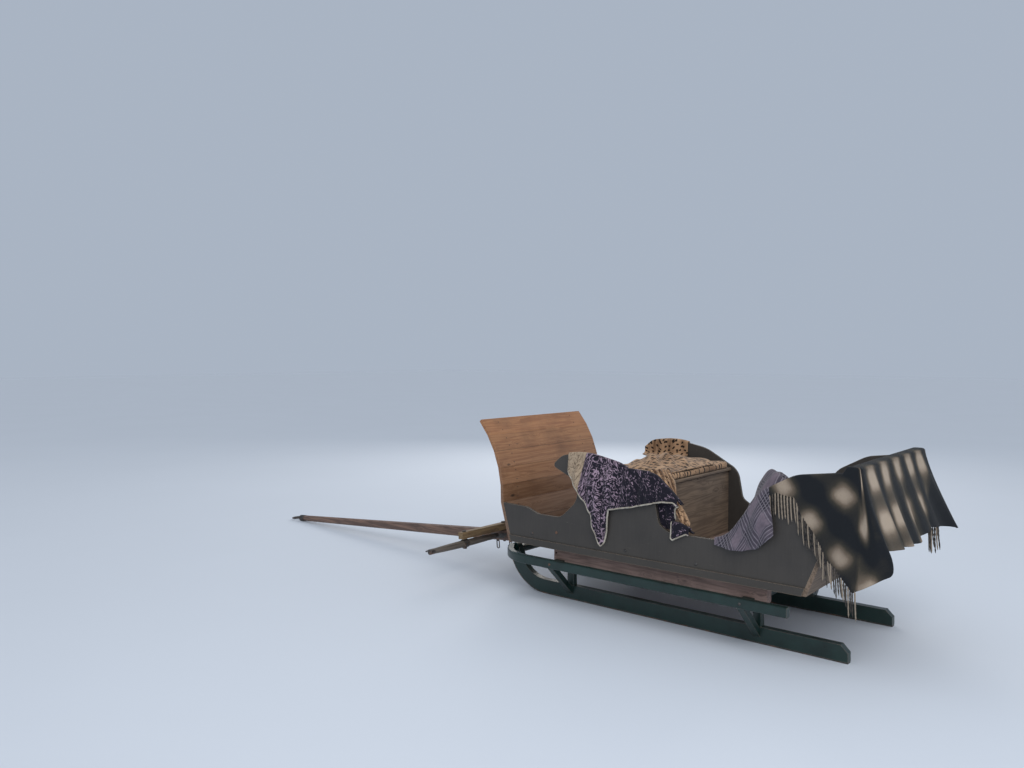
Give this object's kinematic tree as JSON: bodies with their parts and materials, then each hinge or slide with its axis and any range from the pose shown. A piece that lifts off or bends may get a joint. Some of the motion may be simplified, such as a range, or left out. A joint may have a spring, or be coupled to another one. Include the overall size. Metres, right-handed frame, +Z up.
{
  "type": "horse drawn sleigh",
  "caption": "Open two-bench wooden sleigh on steel-shod runners, with scroll-cut side panels, a curved plank dash, a hinged draught pole, an evener and swinging singletrees.",
  "frame": {"origin": "on the ground under the middle of the whole sleigh, between its blanket's rear hem and the pole's ring", "axes": "+X forward along the pole, +Y to the left, +Z up"},
  "size_m": [5.831, 1.628, 1.1941],
  "materials": {
    "green_paint": "worn gloss paint on wood",
    "forged_iron": "dull forged iron, worn bright at the edges",
    "bare_plank": "bare weathered softwood",
    "olive_paint": "matt olive paint on plywood",
    "varnished_pine": "varnished knotty pine",
    "plywood": "bare plywood, weathered",
    "pole_wood": "oiled ash, dark with use",
    "dark_wood": "dark weathered ash",
    "bench_cloth": "dark woven cloth",
    "print_fleece": "fleece with a violet and black animal print",
    "leopard_plush": "plush with brown and black spots",
    "grey_check_fleece": "grey checked fleece",
    "plaid_wool": "felted wool, charcoal and cream check"
  },
  "bodies": {
    "root": {"back_rail": "plywood", "bearer_left": "bare_plank", "bearer_right": "bare_plank", "bolster_front": "green_paint", "bolster_rear": "green_paint", "dash": "varnished_pine", "dash_cleats": "varnished_pine", "driver_riser_front": "plywood", "driver_riser_rear": "plywood", "driver_seat": "plywood", "floor_boards": "bare_plank", "hinge_pin": "forged_iron", "lap_robe": "grey_check_fleece", "leopard_plush": "leopard_plush", "nose_bar": "green_paint", "plaid_throw": "plaid_wool", "pole_clips": "forged_iron", "post_front_left": "green_paint", "post_front_right": "green_paint", "post_rear_left": "green_paint", "post_rear_right": "green_paint", "print_fleece": "print_fleece", "rail_left": "green_paint", "rail_right": "green_paint", "rear_board": "plywood", "rear_cushion": "bench_cloth", "rear_seat": "plywood", "rear_seat_riser": "plywood", "runner_left": "green_paint", "runner_right": "green_paint", "shoe_left": "forged_iron", "shoe_right": "forged_iron", "side_panel_left": "olive_paint", "side_panel_right": "olive_paint", "sill_left": "olive_paint", "sill_right": "olive_paint", "strut_front_left": "green_paint", "strut_front_right": "green_paint", "strut_rear_left": "green_paint", "strut_rear_right": "green_paint"},
    "pole": {"pole": "pole_wood", "pole_irons": "forged_iron", "pole_tip": "forged_iron", "evener_pin": "forged_iron", "spare_links": "forged_iron"},
    "evener": {"evener": "dark_wood", "evener_irons": "forged_iron"},
    "singletree_left": {"singletree_left": "dark_wood", "singletree_irons_left": "forged_iron"},
    "singletree_right": {"singletree_right": "dark_wood", "singletree_irons_right": "forged_iron"}
  },
  "joints": [
    {"name": "pole_pitch", "type": "hinge", "parent": "root", "child": "pole", "pos_m": [-0.19754, 0, 0.262], "axis": [0, -1, 0], "range_deg": [0, 28]},
    {"name": "evener_yaw", "type": "hinge", "parent": "pole", "child": "evener", "pos_m": [0.13498, 0, 0.28152], "axis": [0.0777, 0, 0.997], "range_deg": [-15, 15]},
    {"name": "singletree_yaw_left", "type": "hinge", "parent": "evener", "child": "singletree_left", "pos_m": [0.13211, 0.45, 0.24463], "axis": [0.0777, 0, 0.997], "range_deg": [-30, 30]},
    {"name": "singletree_yaw_right", "type": "hinge", "parent": "evener", "child": "singletree_right", "pos_m": [0.13211, -0.45, 0.24463], "axis": [0.0777, 0, 0.997], "range_deg": [-30, 30]}
  ]
}
